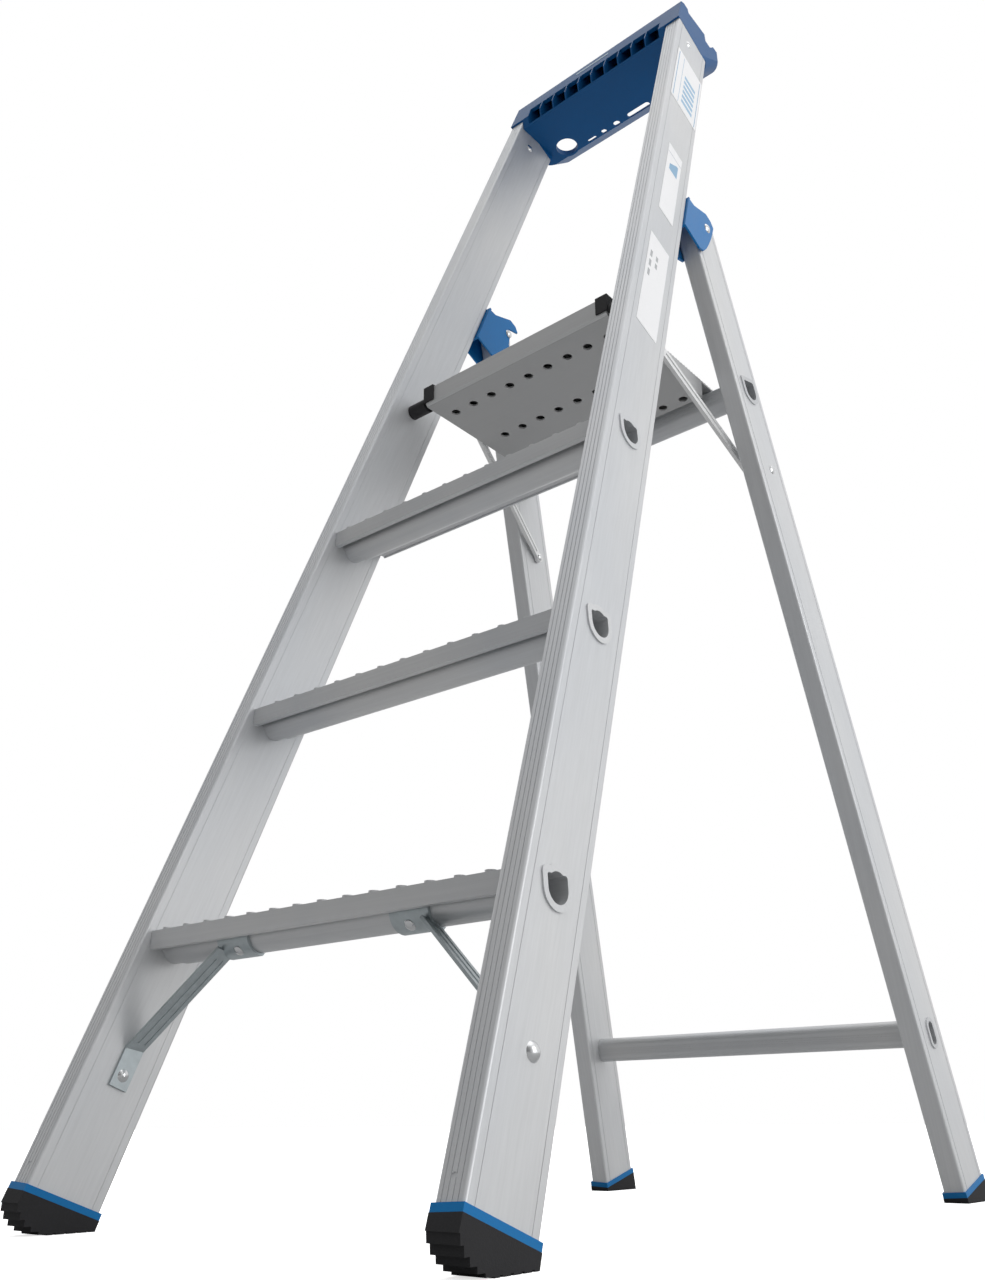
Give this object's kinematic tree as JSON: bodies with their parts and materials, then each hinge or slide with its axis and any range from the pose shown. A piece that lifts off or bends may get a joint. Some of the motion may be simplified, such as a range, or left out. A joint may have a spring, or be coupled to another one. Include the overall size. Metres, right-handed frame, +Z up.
{
  "type": "step ladder",
  "caption": "Single-sided folding step ladder with flat treads, a folding platform, a tool tray on top and a braced rear frame.",
  "frame": {"origin": "centre of the footprint of the opened ladder, on the floor", "axes": "+X to the right as a climber faces the treads, +Y from the treads towards the rear frame, +Z up"},
  "size_m": [0.4936, 0.8677, 1.57],
  "materials": {
    "stile_aluminium": "satin extruded aluminium with fine lengthwise lines",
    "tread_aluminium": "satin extruded aluminium with a ribbed top",
    "deck_aluminium": "satin extruded aluminium with a ribbed top",
    "rail_aluminium": "satin extruded aluminium with fine lengthwise lines",
    "crossbar_aluminium": "satin extruded aluminium with fine ribs on its front",
    "tray_plastic": "fine-grained moulded plastic",
    "bracket_paint": "smooth enamel",
    "collar_plastic": "fine-grained moulded plastic",
    "foot_rubber": "dull rubber",
    "cap_plastic": "fine-grained moulded plastic",
    "bush_plastic": "smooth moulded plastic",
    "zinc_steel": "dull zinc plating",
    "link_aluminium": "bright drawn aluminium",
    "fastener_steel": "zinc plating",
    "tray_label_film": "plain printed film",
    "stile_label_film": "plain printed film"
  },
  "bodies": {
    "front_frame": {"left_stile": "stile_aluminium", "right_stile": "stile_aluminium", "step_1": "tread_aluminium", "step_2": "tread_aluminium", "step_3": "tread_aluminium", "tool_tray": "tray_plastic", "tray_rivets": "fastener_steel", "tray_label": "tray_label_film", "stile_labels": "stile_label_film", "left_hinge_bracket": "bracket_paint", "right_hinge_bracket": "bracket_paint", "bracket_rivets": "fastener_steel", "left_hinge_pin": "fastener_steel", "right_hinge_pin": "fastener_steel", "left_front_foot": "foot_rubber", "right_front_foot": "foot_rubber", "left_front_collar": "collar_plastic", "right_front_collar": "collar_plastic", "left_brace": "zinc_steel", "right_brace": "zinc_steel", "brace_bolts": "fastener_steel", "brace_rivets": "fastener_steel", "left_pivot_bush": "bush_plastic", "right_pivot_bush": "bush_plastic", "left_pivot_pin": "fastener_steel", "right_pivot_pin": "fastener_steel"},
    "rear_frame": {"left_rear_rail": "rail_aluminium", "right_rear_rail": "rail_aluminium", "upper_crossbar": "crossbar_aluminium", "lower_crossbar": "crossbar_aluminium", "left_rear_foot": "foot_rubber", "right_rear_foot": "foot_rubber", "left_rear_collar": "collar_plastic", "right_rear_collar": "collar_plastic", "lower_link_rivets": "fastener_steel"},
    "platform": {"platform_deck": "deck_aluminium", "left_corner_cap": "cap_plastic", "right_corner_cap": "cap_plastic"},
    "left_brace_link": {"left_link": "link_aluminium", "left_link_rivet": "fastener_steel"},
    "right_brace_link": {"right_link": "link_aluminium", "right_link_rivet": "fastener_steel"}
  },
  "joints": [
    {"name": "rear_fold", "type": "hinge", "parent": "front_frame", "child": "rear_frame", "pos_m": [0, 0.09978, 1.12298], "axis": [1, 0, 0], "range_deg": [-34.6, 0]},
    {"name": "platform_fold", "type": "hinge", "parent": "front_frame", "child": "platform", "pos_m": [0, -0.06692, 0.91649], "axis": [1, 0, 0], "range_deg": [0, 69.6]},
    {"name": "left_link_fold", "type": "hinge", "parent": "rear_frame", "child": "left_brace_link", "pos_m": [0, 0.18363, 0.81054], "axis": [1, 0, 0], "range_deg": [-10.4, 0]},
    {"name": "right_link_fold", "type": "hinge", "parent": "rear_frame", "child": "right_brace_link", "pos_m": [0, 0.18363, 0.81054], "axis": [1, 0, 0], "range_deg": [-10.4, 0]}
  ],
  "couplings": [
    {"joint": "platform_fold", "follows": "rear_fold", "ratio": -2.01},
    {"joint": "left_link_fold", "follows": "rear_fold", "ratio": 0.3},
    {"joint": "right_link_fold", "follows": "rear_fold", "ratio": 0.3}
  ]
}
